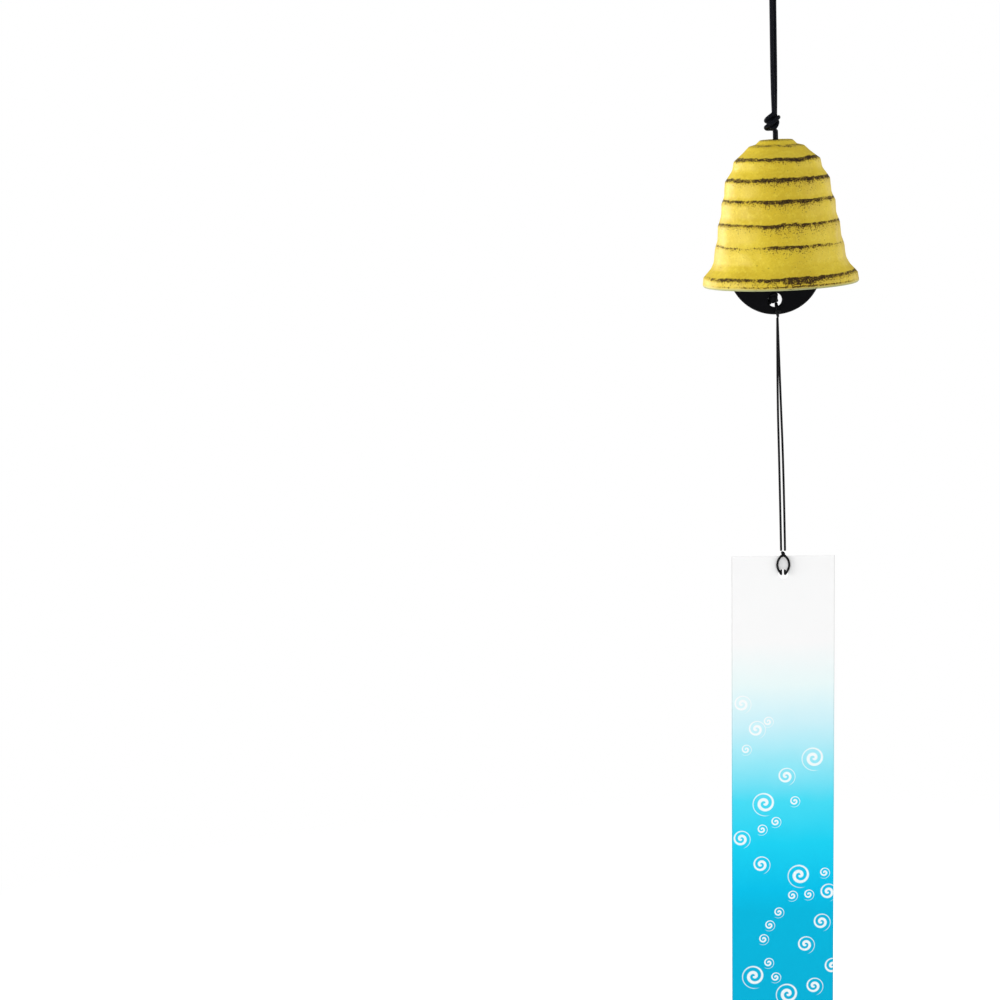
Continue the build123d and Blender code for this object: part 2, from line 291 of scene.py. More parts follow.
# %% Helpers for shaders
def colour(red, green, blue):
    """Turns a colour as a screen writes it into the linear values that Blender mixes."""
    value = np.array([red, green, blue]) / 255
    linear = np.where(value <= 0.04045, value / 12.92, ((value + 0.055) / 1.055) ** 2.4)
    return (*map(float, linear), 1.0)


def fill(tree, node, sockets):
    """Fills a node's sockets with values or with other nodes' outputs."""
    for socket, value in sockets.items():
        if isinstance(value, bpy.types.NodeSocket):
            tree.links.new(value, node.inputs[socket])
        else:
            node.inputs[socket].default_value = value


def put(tree, kind, sockets=None, **settings):
    """Adds a node, sets its options and fills its sockets."""
    made = tree.nodes.new(kind)
    for option, value in settings.items():
        setattr(made, option, value)
    fill(tree, made, sockets or {})
    return made


def sum_of(tree, operation, *values):
    """One piece of arithmetic, as its output socket."""
    return put(tree, "ShaderNodeMath", dict(enumerate(values)), operation=operation).outputs[0]


def pair_of(operation):
    """A function that does one piece of arithmetic on two values."""
    return lambda tree, first, second: sum_of(tree, operation, first, second)


plus, minus, times, greater = map(pair_of, ("ADD", "SUBTRACT", "MULTIPLY", "MAXIMUM"))


def ramp(tree, value, low, high, to_low=0.0, to_high=1.0, kind="SMOOTHSTEP"):
    """Carries a value from one range into another, with soft ends."""
    return put(tree, "ShaderNodeMapRange", {0: value, 1: low, 2: high, 3: to_low, 4: to_high},
               interpolation_type=kind).outputs[0]


def mix(tree, share, first, second, blend="MIX"):
    """Mixes two colours."""
    return put(tree, "ShaderNodeMix", {0: share, 6: first, 7: second},
               data_type="RGBA", blend_type=blend).outputs[2]


print("a screen's mid grey is", round(colour(128, 128, 128)[0], 3), "of white in linear values")


# %% [markdown]
# Most of the patterns here hang on the object's own coordinates, start from noise and end in a bump, so
# those three have a helper each. The next ones make a node group, place it, and start a material.


# %% Patterns, groups and materials
def own_place(tree):
    """The point on the object, in metres in the object's own frame."""
    return put(tree, "ShaderNodeTexCoord").outputs["Object"]


def noise(tree, place, scale, detail, roughness=0.5):
    """Smooth noise about 0.5, with so many lumps to the metre."""
    return put(tree, "ShaderNodeTexNoise", {
        "Vector": place, "Scale": scale, "Detail": detail, "Roughness": roughness}).outputs["Fac"]


def bump(tree, height, strength, distance):
    """The normal of a surface that a height raises by up to a distance."""
    return put(tree, "ShaderNodeBump", {
        "Strength": strength, "Distance": distance, "Height": height}).outputs[0]


def new_group(name, inputs, outputs):
    """A node group with named sockets: its tree, the sockets inside it, and the node its results go to."""
    tree = bpy.data.node_groups.new(name, "ShaderNodeTree")
    kinds = {"value": "NodeSocketFloat", "vector": "NodeSocketVector"}
    for way, sockets in (("INPUT", inputs), ("OUTPUT", outputs)):
        for socket, kind in sockets.items():
            tree.interface.new_socket(socket, in_out=way, socket_type=kinds[kind])
    return tree, tree.nodes.new("NodeGroupInput").outputs, tree.nodes.new("NodeGroupOutput")


def place_group(tree, group, sockets):
    """Places a node group in a tree, fills its sockets, and hands on its outputs."""
    return put(tree, "ShaderNodeGroup", sockets, node_tree=group).outputs


def new_material(name):
    """An empty material: its tree, and its shader, already joined to the output."""
    material = bpy.data.materials.new(name)
    material.use_nodes = True
    tree = material.node_tree
    tree.nodes.clear()
    shader = put(tree, "ShaderNodeBsdfPrincipled")
    put(tree, "ShaderNodeOutputMaterial", {"Surface": shader.outputs[0]})
    return material, tree, shader


print("materials of the packed model:", ", ".join(material.name for material in bpy.data.materials))


# %% [markdown]
# ## The braid
#
# A braided cord has two families of yarns that wind round it in opposite ways and pass over and under
# each other, as in plain weave. Along a yarn the height goes up where it lies on top and down where it
# dives, and across it the height is round. The higher of the two families is what is seen.


# %% The braid as a node group
def braid_group():
    """Height = the greater of two rounded stripe families, each raised and lowered by the other's phase."""
    tree, given, result = new_group(
        "braid", {"Vector": "vector", "Yarns": "value", "Turns per diameter": "value"},
        {"Height": "value", "Painted gap shade": "value"})
    place = put(tree, "ShaderNodeSeparateXYZ", {0: given["Vector"]}).outputs
    wound = times(tree, place["Y"], given["Turns per diameter"])
    right = times(tree, plus(tree, place["X"], wound), given["Yarns"])
    left = times(tree, minus(tree, place["X"], wound), given["Yarns"])
    waves = {}
    for name, phase in (("right", right), ("left", left)):
        waves[name] = sum_of(tree, "SINE", times(tree, phase, pi))
        waves[name + " turned"] = sum_of(tree, "COSINE", times(tree, phase, pi))
    heights = []
    for own, other, way in (("right", "left", 1.0), ("left", "right", -1.0)):
        rounded = sum_of(tree, "ABSOLUTE", waves[own])
        lifted = times(tree, times(tree, waves[own], waves[other]), 0.5 * way)
        heights.append(plus(tree, rounded, lifted))
    height = greater(tree, *heights)
    # The gap output is painted shade: 1 where the yarns lie low, 0 on their tops
    fill(tree, result, {"Height": height, "Painted gap shade": ramp(tree, height, 0.5, 1.0, 1.0, 0.0)})
    return tree


braid = braid_group()
print("node group", braid.name, "with", len(braid.nodes), "nodes")


# %% [markdown]
# The cord is black polyester with a faint blue cast and a soft sheen. The thin cord of the strip is
# finer and waxed, so it is a little smoother. Both use the same braid with their own counts.


# %% Cord materials
def cord_material(name, dark, light, turns, roughness, relief):
    """Braided cord: the gaps between yarns are lower and get painted shade, and single yarns vary a little.
    """
    material, tree, shader = new_material(name)
    uv = put(tree, "ShaderNodeUVMap", uv_map="UVMap").outputs[0]
    woven = place_group(tree, braid, {"Vector": uv, "Yarns": 6.0, "Turns per diameter": turns})
    fuzz = noise(tree, own_place(tree), 4000.0, 3.0)
    yarn = mix(tree, sum_of(tree, "MULTIPLY_ADD", fuzz, 0.6, -0.1), dark, light)
    height = sum_of(tree, "MULTIPLY_ADD", fuzz, 0.35, woven["Height"])
    # Painted shade: the base colour goes to the dark tone in the gaps between yarns
    fill(tree, shader, {
        "Base Color": mix(tree, woven["Painted gap shade"], yarn, dark), "Normal": bump(tree, height, 0.9, relief),
        "Roughness": roughness, "Specular IOR Level": 0.12, "Sheen Weight": 0.02, "Sheen Roughness": 0.4})
    return material


black_cord = cord_material("black_cord", colour(3, 4, 10), colour(33, 37, 56), 0.22, 0.62, 0.22 * MM)
black_thread = cord_material("black_thread", colour(8, 8, 10), colour(26, 27, 33), 0.24, 0.6, 0.04 * MM)
print("cord materials:", black_cord.name, "and", black_thread.name)


# %% [markdown]
# A new piece has to know which imported nodes it takes the place of and which body it moves with. One
# helper gives it its material and its body, and hides the imported nodes it stands for.


# %% Dressing a piece
def dress(piece, material, body, slot, *nodes):
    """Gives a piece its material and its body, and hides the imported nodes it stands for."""
    piece.data.materials.append(material)
    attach(piece, body)
    if nodes:
        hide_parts(*nodes)
    return piece


print("materials ready for the slots:", ", ".join(material.name for material in (black_cord, black_thread)))


# %% [markdown]
# ## Hanging askew
#
# In the photograph nothing hangs quite plumb. The clapper leans about the knot that the bell hangs on,
# and the strip leans about its own knot, both with their feet to the left.


# %% Turning a line about a point on the plumb line
def askew(line, height, degrees):
    """x = x cos a + z sin a and z = z cos a - x sin a, with z counted from the height given."""
    x, y, z = (np.array(line, float) - (0, 0, height)).T
    angle = radians(degrees)
    return np.stack([x * cos(angle) + z * sin(angle), y, z * cos(angle) - x * sin(angle) + height], 1)


stopper_middle = -95.259 * MM
clapper_lean, strip_lean = 1.5, 1.1
print("the clapper leans by", clapper_lean, "degrees and the strip by", strip_lean)

# %% [markdown]
# ## The hanging loop
#
# One cord runs up from the crown knot, over a hook that isn't part of the bell, and down again. The two
# runs hang close together, half behind each other, and close up over the last centimetre above the knot,
# where one comes quite in front of the other. The bell's weight keeps them straight, so the route has few
# points. The curve touches the middle of each stretch between two of them, which is why the points round
# the hook lie outside the bend.

# %% The loop's route
cord_radius, thread_radius = 0.95 * MM, 0.55 * MM
knot_foot = -83.8 * MM
half_route = [  # across the loop and up, in millimetres, and the loop's turn there in degrees from +X
    (1.15, -75.6, 66), (1.15, -64.2, 45), (1.15, -31.4, 45),
    (1.15, -16.5, 45), (4.26, -1.98, 45), (1.88, 0.95, 45)]
loop_route = np.array([(-across, up, turn) for across, up, turn in half_route] + half_route[::-1])
across, up, turns = loop_route[:, 0] * MM, loop_route[:, 1] * MM, np.radians(loop_route[:, 2])
pulled_aside, pulled_below = 0.3 * MM, 64 * MM  # the knot lets go of the loop a little to the left
aside = np.clip(-up / pulled_below, 0, 1) * pulled_aside
loop_points = np.stack([across * np.cos(turns) - aside, across * np.sin(turns), up], 1).tolist()
loop_line = smooth_line(loop_points)
loop_cord = tube("loop_cord", loop_line, cord_radius, aside=(sin(radians(45)), -cos(radians(45)), 0))
dress(loop_cord, black_cord, "loop", "black_cord", "hanging_loop")
print("loop cord", round(run_along(loop_line)[-1] / MM, 1), "mm long")

# %% [markdown]
# ## The strip's cord
#
# A thinner cord is doubled below the clapper. Its two threads leave the hitch one behind the other and
# drift apart by a millimetre on their way to the strip's knot, as threads do that have kept a little twist.

# %% The two threads
hitch_side, hitch_level = -0.665 * MM, -170.333 * MM
thread_head, thread_foot = -174.264 * MM, -289.2 * MM
thread_fall = thread_head - thread_foot
for side, name in ((-1, "left"), (1, "right")):
    thread_route = [
        (hitch_side + side * 0.12 * MM, side * 0.65 * MM, thread_head),
        (hitch_side + side * 0.79 * MM, side * 0.65 * MM, thread_head - 0.30 * thread_fall),
        (side * 1.05 * MM, side * 0.325 * MM, thread_head - 0.67 * thread_fall),
        (side * 0.95 * MM, 0, thread_foot)]
    thread_line = smooth_line(thread_route)
    thread = tube(f"strip_thread_{name}", thread_line, thread_radius, aside=(0, 1, 0), sides=14,
                  step=0.8 * MM)
    dress(thread, black_thread, "strip_cord", "black_thread", f"strip_cord_{name}")
    print(thread.name, round(run_along(thread_line)[-1] / MM, 1), "mm long")

# %% [markdown]
# ## Knots
#
# The knots are overhand knots, the simplest knot there is. Mathematicians have a tidy formula for it: as
# t goes from -2 to 2, x is t cubed less 3t, y is t to the fourth less 4t squared, and z is t to the
# fifth less 10t. Squeezed to the size of the real knot it gives the lumps and crossings of drawn-up
# cord. Where the cord is doubled, a second line runs beside the first.

# %% Overhand knots
knot_aside = (0.3, 0.2, 1)  # a direction that no line of a knot runs along


def overhand(middle, width, depth, height, turn):
    """The line of an overhand knot. x = t^3 - 3t, y = t^4 - 4t^2 + 2, z = t^5 - 10t, scaled to the
    sizes given across their middles, turned about the upright, and led to the knot's axis at its ends."""
    t = np.linspace(-2, 2, 160)
    x = (t**3 - 3 * t) / 4 * width
    y = (t**4 - 4 * t**2 + 2) / 4 * depth
    z = -(t**5 - 10 * t) / 19 * height
    ends = np.clip((np.abs(t) - 1.6) / 0.4, 0, 1)
    calm = 1 - 0.75 * ends**2 * (3 - 2 * ends)
    x, y = x * calm, y * calm
    return np.array(middle) + np.stack([x * cos(turn) - y * sin(turn), x * sin(turn) + y * cos(turn), z], 1)


def join(name, pieces):
    """Puts several meshes into the first one."""
    with bpy.context.temp_override(active_object=pieces[0], object=pieces[0], selected_objects=pieces,
                                   selected_editable_objects=pieces):
        bpy.ops.object.join()
    pieces[0].name = pieces[0].data.name = name
    return pieces[0]


def knot(name, middle, sizes, turn, radius, lumps=()):
    """Two strands side by side on an overhand line, and any lumps between them, joined into one mesh."""
    line = even_steps(overhand(middle, *sizes, turn), 0.5 * radius)
    across = steady_frame(line, knot_aside)[1]
    strands = [tube(f"{name}_{side}", line + across * side * 0.85 * radius, radius, knot_aside, sides=16)
               for side in (-1, 1)]
    return join(name, strands + list(lumps))


def ball(name, middle, radii):
    """A lump of cord: the middle + the radii x (cos b cos a, -cos b sin a, sin b), a round it and b up."""
    rows, columns = 17, 32
    a = np.linspace(0, 2 * pi, columns, endpoint=False)[None, :]
    b = np.radians(np.linspace(84, -84, rows))[:, None]
    grid = np.stack([np.cos(b) * np.cos(a), -np.cos(b) * np.sin(a), np.sin(b) + 0 * a], -1) * radii + middle
    return skin(name, grid, (np.linspace(0, 5, columns + 1), np.linspace(0, 2.5, rows)))


stopper = knot("stopper_knot_turns", (0, 0, stopper_middle), (3.6 * MM, 3.6 * MM, 4.6 * MM),
               radians(70), 0.9 * cord_radius)
dress(stopper, black_cord, "stopper", "black_cord", "stopper_knot")
print("knot:", stopper.name)

# %% [markdown]
# The knot above the crown shows most, so its two strands follow routes read off the photograph. Seen
# from the front, the first strand comes down to the left, bulges there, goes round the back to a lobe at
# the upper right, and crosses the front to a second lobe at the lower left. The second strand fills the
# middle and shows at the lower right. An egg-shaped heart closes the gaps between them.

# %% The crown knot
front_strand = [  # millimetres across, in depth and up from the knot's foot
    (-0.77, -1.05, 9.0), (-1.0, -1.4, 8.3), (-2.3, -2.2, 7.5), (-4.7, -1.5, 5.6), (-4.4, 1.0, 4.3),
    (-1.2, 2.3, 4.6), (1.3, 2.1, 5.6), (1.9, 0.1, 6.7), (1.0, -2.1, 6.4), (-0.7, -2.8, 4.6),
    (-2.7, -2.6, 2.9), (-4.9, -1.3, 2.2), (-4.4, 0.8, 0.9), (-1.8, 1.3, 1.0), (0.3, 1.1, 0.6),
    (0.43, 1.07, -0.4)]
rear_strand = [
    (0.17, 1.05, 9.0), (0.2, 1.1, 8.0), (0.5, 0.9, 6.6), (0.0, -0.5, 5.6), (-2.2, -1.2, 4.2),
    (-2.6, -0.8, 2.2), (-1.2, -1.6, 1.2), (0.2, -1.9, 2.0), (1.1, -0.8, 3.8), (1.2, 0.9, 4.9),
    (0.0, 1.1, 3.0), (-0.4, -0.3, 1.0), (-0.43, -1.07, 0.4), (-0.43, -1.07, -0.4)]
lumps = {"heart": ((-1.8, 0, 3.8), (2.5, 1.9, 3.4)), "throat": ((-0.4, 0, 6.6), (1.1, 1.1, 1.4))}
turns_of_knot = []
for index, route in enumerate((front_strand, rear_strand)):
    line = smooth_line(np.array(route) * MM + (0, 0, knot_foot))
    turns_of_knot.append(tube(f"crown_knot_{index}", line, 0.95 * cord_radius, aside=knot_aside, sides=18))
for name, (middle, radii) in lumps.items():
    middle = np.array(middle) * MM + (0, 0, knot_foot)
    turns_of_knot.append(ball(f"crown_knot_{name}", middle, np.array(radii) * MM))
crown_knot = dress(join("crown_knot_turns", turns_of_knot), black_cord, "neck", "black_cord", "crown_knot")
print("crown knot of", len(crown_knot.data.polygons), "faces")


# %% [markdown]
# Between the knots the two strands run side by side, through the crown's hole and down inside the bell.


# %% Straight strands
def straight_strands(name, head, foot, turn, lean, body, *nodes):
    """Two tubes side by side from one height to another, leaning about the stopper knot."""
    half_apart = 1.15 * MM
    pieces = []
    for side in (-1, 1):
        place = np.array([side * half_apart * cos(turn), side * half_apart * sin(turn), 0])
        ends = askew([place + (0, 0, head), place + (0, 0, foot)], stopper_middle, lean)
        pieces.append(tube(f"{name}_{side}", ends, cord_radius, aside=(0, 1, 0), step=1 * MM))
    return dress(join(name, pieces), black_cord, body, "black_cord", *nodes)


clapper_knot_head, clapper_knot_foot = -118.894 * MM, -124.894 * MM
inside_stopper = 4.4 * MM
neck = straight_strands("neck_strands", knot_foot, stopper_middle + inside_stopper, radians(68), 0,
                        "neck", "neck_cord")
inner = straight_strands("clapper_strands", stopper_middle - inside_stopper, clapper_knot_head + 0.2 * MM,
                         0, clapper_lean, "clapper_cord", "clapper_cord_left", "clapper_cord_right")
print("strands:", neck.name, inner.name)

# %% [markdown]
# The cord ends in a knot above the clapper, and a ring of it goes through the plate's upper hole.

# %% The clapper's knot and ring
upper_web, ring_radius = -128.625 * MM, 3.381 * MM
angle = np.linspace(0, 2 * pi, 97)
ring_line = np.stack([0 * angle, ring_radius * np.cos(angle), upper_web + ring_radius * np.sin(angle)], 1)
clapper_ring = tube("clapper_ring_cord", askew(ring_line, stopper_middle, clapper_lean), cord_radius,
                    aside=(1, 0, 0), torus=True)
dress(clapper_ring, black_cord, "clapper_tie", "black_cord", "clapper_ring")
knot_level = (clapper_knot_head + clapper_knot_foot) / 2
clapper_knot = knot("clapper_knot_turns", askew([(0, 0, knot_level)], stopper_middle, clapper_lean)[0],
                    (2.4 * MM, 2.2 * MM, 3.4 * MM), radians(30), 0.8 * cord_radius)
dress(clapper_knot, black_cord, "clapper_tie", "black_cord", "clapper_knot")
print("ring", clapper_ring.name, "and knot", clapper_knot.name)

# %% [markdown]
# ## The strip's hitch and tie
#
# The thin cord goes twice round the plate's lower web and its bight lies across the front. The turns lie
# apart in the hole and draw together below the web. The cord's joined ends are drawn up behind the hole
# in a knot that fills the hole's upper left.

# %% Hitch on the plate
hitch_radius = 3.181 * MM
wind = np.linspace(-pi / 2, -pi / 2 + 4 * pi, 145)
drawn = 0.25 + 0.75 * np.sin((wind + pi / 2) / 2) ** 2
across = np.linspace(-0.5 * MM, 0.5 * MM, len(wind)) * drawn - 0.35 * MM * np.sin(wind)
hitch_line = np.stack([hitch_side - 0.15 * MM + across, -hitch_radius * np.cos(wind),
                       hitch_level + hitch_radius * np.sin(wind)], 1)
hitch_turns = tube("hitch_turns", hitch_line, 0.95 * thread_radius, aside=(1, 0, 0), sides=14)
bight_route = [  # millimetres across, in depth and up from the web's middle
    (-0.4, -2.9, -1.2), (-1.0, -3.6, -0.6), (-0.7, -3.9, 0.3),
    (0.7, -3.9, 0.3), (1.0, -3.6, -0.6), (0.4, -2.9, -1.2)]
bight_line = smooth_line(np.array(bight_route) * MM + (hitch_side, 0, hitch_level))
hitch_bight = tube("hitch_bight", bight_line, thread_radius, aside=(0, 1, 0.3), sides=14)
dress(join("hitch_cord", [hitch_turns, hitch_bight]), black_thread, "hitch", "black_thread", "strip_hitch")

tie_middle = np.mean(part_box("tie_knot"), 0)
tie_lumps = [ball("tie_knot_heart", tie_middle + (0, 0, -0.2 * MM), (2.5 * MM, 2.3 * MM, 2.75 * MM)),
             ball("tie_knot_lobe", tie_middle + (-2.0 * MM, 0, -2.1 * MM), (1.6 * MM, 1.6 * MM, 1.6 * MM))]
tie = knot("tie_knot_turns", tie_middle, (2.5 * MM, 2.5 * MM, 2.8 * MM), radians(80), 0.85 * MM, tie_lumps)
dress(tie, black_thread, "clapper", "black_thread", "tie_knot")
print("hitch and", tie.name)

# %% [markdown]
# At the strip the two threads close in a small tight knot on the paper's top edge. Below it they open
# into an eye that lies on the print, and both go through the punched hole.

# %% Knot and eye on the strip
strip_top, strip_wide, strip_long = -292.0 * MM, 51.0 * MM, 240.0 * MM
knot_middle = strip_top + 0.7 * MM
strip_knot = knot("strip_knot_turns", (0, 0, knot_middle), (1.1 * MM, 1.2 * MM, 1.7 * MM), radians(20),
                  0.5 * MM)
dress(strip_knot, black_thread, "strip", "black_thread", "strip_knot")
lie = 0.825
eye_route = [  # millimetres from the middle outwards, in depth and up from the strip's top edge
    (0.9, -0.7, 0.2), (2.4, -lie, -1.5), (3.1, -lie, -4.2), (2.6, -lie, -6.6), (1.2, -lie, -8.7),
    (0.95, -0.3, -9.2), (0.95, lie, -8.6), (0.95, lie, -5.5), (0.75, 0.7, -0.5)]
for side, name in ((-1, "left"), (1, "right")):
    eye_line = smooth_line(np.array(eye_route) * (side * MM, MM, MM) + (0, 0, strip_top))
    eye = tube(f"strip_eye_{name}_leg", askew(eye_line, knot_middle, strip_lean), thread_radius,
               aside=(1, 0, 0.1), sides=14)
    dress(eye, black_thread, "strip", "black_thread", f"strip_eye_{name}")
print("knot", strip_knot.name, "and two eye legs")

# %% [markdown]
# ## The bell
#
# The casting is a turned shape: an outline carried round an axis that leans a little, because the real
# bell hangs askew on its knot. Its wall falls in six steps, each a near-upright wall that flares out to
# a round ridge. The outline below is the same list of corners that the solid has, each rounded by a
# short curve. Sand casting leaves no line quite true, so the ridges then wander up and down by a
# quarter of a millimetre and the wall swells by less than that.

# %% The bell's outline
rim, tall = 37.9, 69.6  # the rim's radius and the bell's height, in millimetres
wall, lip, crown = 2.3, 2.7, 5.0  # how thick each of them is
hole, boss_radius = 3.3, 7.9
sharp, soft = 1.0, 6.0  # rounding at a ridge and at a knee
ridge_radii = np.array([0.351, 0.549, 0.668, 0.726, 0.778, 0.826]) * rim
ridge_depths = np.array([0.043, 0.138, 0.276, 0.428, 0.585, 0.747]) * tall
knee_radii = np.array([0.427, 0.570, 0.679, 0.731, 0.790, 0.842]) * rim
knee_depths = np.array([0.085, 0.200, 0.374, 0.516, 0.684, 0.829]) * tall
flare_radius, flare_depth = 0.884 * rim, 0.875 * tall
outline = [  # radius, depth and rounding of each corner
    (hole, 3.0, 0.5), (hole, 0.0, 0.5), (boss_radius, 0.0, 1.8), (10.0, 2.1, sharp)]
for index in range(6):
    outline += [(ridge_radii[index], ridge_depths[index], sharp),
                (knee_radii[index], knee_depths[index], soft if index else sharp)]
outline += [(flare_radius, flare_depth, soft), (0.987 * rim, 0.938 * tall, sharp), (rim, tall, 0.9)]
outer_corners = len(outline)
outline += [(rim - lip, tall, 0.5), (flare_radius - wall, flare_depth, soft)]
outline += [(knee_radii[index] - wall, knee_depths[index], soft) for index in range(5, 0, -1)]
outline += [(ridge_radii[0] - wall / 2, crown, 3.0), (hole, crown, 0.5), (hole, 3.0, 0.5)]
print(len(outline), "corners,", outer_corners, "of them outside")


# %% [markdown]
# Each corner is rounded by a curve that leaves one side, heads for the corner and joins the next side.


# %% Rounding the outline
def rounded(corners, step):
    """Rounds each corner and sets the points an even step apart.

    The curve starts at a and ends at b, each the rounding times the tangent of half the turn away from
    the corner, and its points are (1-s)^2 a + 2s(1-s) corner + s^2 b.
    """
    places, roundings = np.array(corners)[:, :2], np.array(corners)[1:-1, 2]
    before, after = places[1:-1] - places[:-2], places[2:] - places[1:-1]
    long_before, long_after = np.linalg.norm(before, axis=1), np.linalg.norm(after, axis=1)
    cosine = (before * after).sum(1) / long_before / long_after
    half_turn = np.arccos(np.clip(cosine, -1, 1)) / 2
    cut = np.minimum(roundings * np.tan(half_turn), 0.49 * np.minimum(long_before, long_after))[:, None]
    start = places[1:-1] - before / long_before[:, None] * cut
    end = places[1:-1] + after / long_after[:, None] * cut
    s = np.linspace(0, 1, 9)[None, :, None]
    curves = (1 - s) ** 2 * start[:, None] + 2 * s * (1 - s) * places[1:-1, None] + s**2 * end[:, None]
    line = np.concatenate([places[:1], curves.reshape(-1, 2), places[-1:]])
    line = line[np.r_[True, np.linalg.norm(np.diff(line, axis=0), axis=1) > 1e-4]]
    whole = run_along(line)[-1]
    run = np.linspace(0, whole, int(whole / step))
    return read_off(line, run), run


profile, profile_run = rounded(outline, 0.62)
lowest = int(np.argmax(profile[:, 1] + 1e-3 * profile[:, 0]))
print("outline of", len(profile), "points, the rim's foot at point", lowest)


# %% [markdown]
# Now the outline goes round the axis. Sums of a few waves, with lengths and directions drawn from a
# seeded generator, stand in for the unevenness of the sand mould.


# %% The casting's skin
def waves(points, shortest, longest, count, seed):
    """A smooth random field: the mean of many sine waves of random direction, length and phase."""
    draw = np.random.default_rng(seed)
    directions = unit(draw.normal(size=(count, points.shape[-1])))
    lengths = np.exp(draw.uniform(np.log(shortest), np.log(longest), count))
    phases = draw.uniform(0, 2 * pi, count)
    return np.sin(points @ (directions / lengths[:, None]).T * 2 * pi + phases).sum(-1) / sqrt(count)


columns = 340
turn = np.linspace(0, 2 * pi, columns, endpoint=False)
radius, plain_depth = (np.repeat(values[:, None], columns, 1) for values in profile.T)
outside = np.arange(len(profile))[:, None] <= lowest
true_place = np.stack([radius * np.cos(turn), radius * np.sin(turn), plain_depth], -1)
hand = np.clip(plain_depth / 6, 0, 1) * np.clip((tall - plain_depth) / 4, 0, 1) * outside
depth = plain_depth + hand * 0.22 * waves(true_place, 14, 40, 24, seed=3)
radius = radius + hand * 0.10 * waves(true_place, 5, 16, 40, seed=5)

lean, bell_shift = radians(0.8), 0.4 * MM
crown_top = -88.0 * MM
below_knot = (crown_top - stopper_middle) / MM
upright = np.stack([radius * np.cos(turn), radius * np.sin(turn), below_knot - depth], -1) * MM
lean_turn = np.array([[cos(lean), 0, sin(lean)], [0, 1, 0], [-sin(lean), 0, cos(lean)]])
bell_grid = upright @ lean_turn + (bell_shift, 0, stopper_middle)
bell = skin("bell_casting", bell_grid[:-1], (np.linspace(0, 1, columns + 1), profile_run / profile_run[-1]),
            torus=True, inward=True)
print("bell of", len(bell.data.polygons), "faces")


# %% [markdown]
# ### Where the paint is worn
#
# Paint wears off the ridges first. In the photograph each worn band has a sharp upper edge just above
# its ridge and dies out below in specks, and it is stronger on some sides than on others. So the amount
# of wear is worked out for each point of the skin and kept there as an attribute, and the shader later
# breaks it up into specks.


# %% Wear on the ridges
def band(middle, width, tail):
    """1 on the band, with a quick start above it; below it a quick fall to 0.66, and then a slow fade."""
    away = plain_depth - middle
    up = np.clip((away + width / 2 + 0.35) / 0.35, 0, 1)
    core = 1 - np.clip((away - width / 2) / 0.6, 0, 1)
    specks = 0.66 * np.exp(-np.clip(away - width / 2, 0, None) / tail)
    return up**2 * (3 - 2 * up) * np.maximum(core**2 * (3 - 2 * core), specks)


azimuth = (np.degrees(turn) + 275.3) % 360 - 180  # 0 towards the camera, 90 at the right
seen_from = [-75, -50, -25, 0, 25, 50, 75, 180]


def by_azimuth(values):
    """Carries values chosen at eight azimuths round the whole bell."""
    return np.interp(azimuth, seen_from, values, period=360)


# How far the band lies above its ridge, its strength and its width at the eight azimuths, and its tail
bands = [
    (0.6, (0.42, 0.50, 0.56, 0.58, 0.62, 0.55, 0.45, 0.5), (0.5, 0.5, 0.5, 0.5, 0.6, 0.5, 0.5, 0.5), 1.2),
    (1.05, (0.84, 0.84, 0.80, 0.94, 1.00, 0.96, 0.90, 0.8), (1.4, 1.2, 1.0, 1.3, 1.4, 1.2, 1.0, 1.2), 1.7),
    (1.3, (0.88, 0.80, 0.84, 1.00, 1.00, 0.92, 0.92, 0.8), (1.1, 1.3, 1.1, 1.6, 1.6, 1.1, 1.2, 1.2), 3.0),
    (1.8, (0.92, 0.84, 0.84, 1.00, 0.98, 0.86, 0.80, 0.8), (0.8, 0.8, 1.0, 1.4, 1.4, 0.9, 1.0, 1.0), 3.0),
    (1.45, (0.80, 0.76, 0.74, 1.00, 0.92, 0.78, 0.74, 0.8), (1.0, 1.0, 0.9, 1.3, 1.2, 0.9, 0.8, 1.0), 4.2),
    (2.2, (0.56, 0.68, 0.50, 0.92, 0.88, 0.68, 0.52, 0.6), (0.6, 0.6, 0.5, 1.0, 1.0, 0.6, 0.5, 0.6), 2.8)]
spread = by_azimuth((0.7, 0.8, 1.0, 1.35, 1.35, 1.15, 1.0, 0.9))  # specks reach farther near the middle
place = true_place[..., :2]
wear = np.zeros_like(plain_depth)
for index, (above, strengths, widths, tail) in enumerate(bands):
    amount = by_azimuth(strengths) + 0.12 * waves(place, 2.5, 12, 32, seed=20 + index)
    middle = ridge_depths[index] - above + 0.12 * waves(place, 3, 9, 24, seed=40 + index)
    middle = middle + 0.16 * waves(place, 12, 40, 12, seed=50 + index)
    wear = np.maximum(wear, amount * band(middle, by_azimuth(widths), tail * spread))
print("wear on", len(bands), "ridges, up to", round(float(wear.max()), 2))

# %% [markdown]
# The lip has a band of its own, with one dense patch right of the middle, and a thin line lower down. The
# boss is rubbed round its top, there is a single chip between two ridges, and a pale grey-green line
# runs round the very bottom.

# %% Wear on the lip and the boss
lip_depth, line_depth, edge_depth, chip_depth = 64.4, 67.9, 68.35, 33.4
lip_strengths = by_azimuth((0.35, 0.86, 0.80, 0.88, 0.98, 0.84, 0.80, 0.7))
lip_widths = by_azimuth((0.5, 1.1, 0.9, 0.9, 1.2, 0.9, 0.7, 1.0))
line_strengths = by_azimuth((0.3, 0.50, 0.66, 0.86, 1.00, 0.80, 0.55, 0.5))
patch = np.clip((azimuth - 1.5) / 1.5, 0, 1) * np.clip((30 - azimuth) / 8, 0, 1)
rise = 0.6 * np.clip((azimuth - 28) / 15, 0, 1)
lip_middle = lip_depth + 0.6 * patch - rise + 0.12 * waves(place, 3, 9, 24, seed=33)
lip_amount = lip_strengths + 0.12 * waves(place, 2.5, 12, 32, seed=31)
wear = np.maximum(wear, lip_amount * band(lip_middle, lip_widths + 1.9 * patch, 3.2 * spread))
